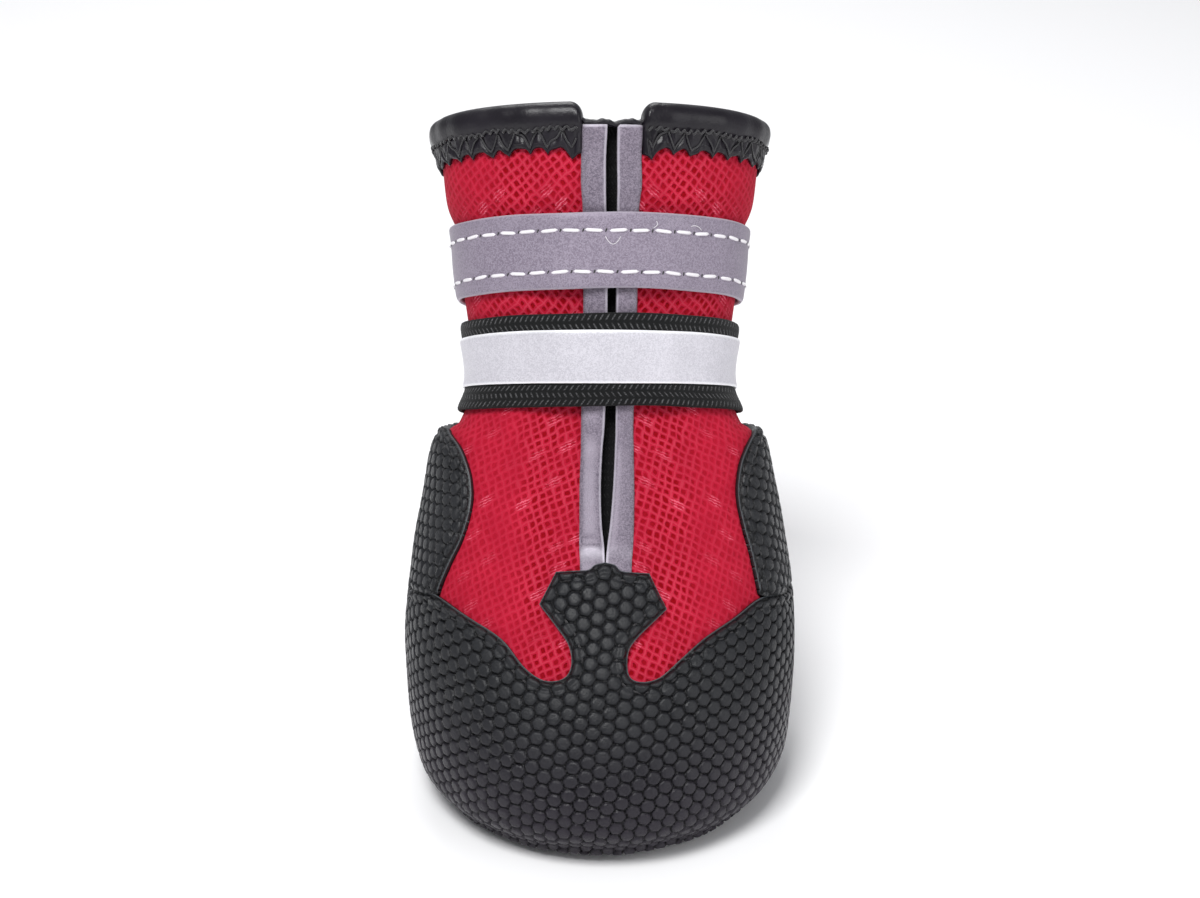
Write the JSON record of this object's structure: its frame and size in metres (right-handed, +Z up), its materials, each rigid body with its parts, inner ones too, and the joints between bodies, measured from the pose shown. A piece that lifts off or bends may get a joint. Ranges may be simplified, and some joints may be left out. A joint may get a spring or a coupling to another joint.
{
  "type": "dog boot",
  "caption": "Soft dog boot with a mesh upper, moulded toe cap and heel counter, lugged rubber sole, front slit and two fastened straps.",
  "frame": {"origin": "on the floor under the ball of the foot, on the centre line, at the foot of a tread lug", "axes": "+X across the boot's width, -Y towards the toe, +Z up"},
  "size_m": [0.0788, 0.1108, 0.1335],
  "materials": {
    "mesh_fabric": "red air mesh, matt",
    "moulded_rubber": "satin black with small raised hexagons",
    "sole_rubber": "satin black, lugged",
    "reflective_grey": "grey reflective cloth, satin",
    "black_webbing": "black woven elastic, matt",
    "reflective_silver": "pale silver reflective tape, satin",
    "glossy_binding": "glossy black coated cloth",
    "lining": "dark grey felt, matt"
  },
  "bodies": {
    "root": {"outsole": "sole_rubber", "insole": "lining", "upper": "mesh_fabric", "gusset": "black_webbing", "toe_cap": "moulded_rubber", "heel_counter": "moulded_rubber", "slit_edging_left": "reflective_grey", "slit_edging_right": "reflective_grey", "collar_binding": "glossy_binding", "upper_strap": "reflective_grey", "lower_strap": "black_webbing", "reflective_tape": "reflective_silver"}
  },
  "joints": []
}
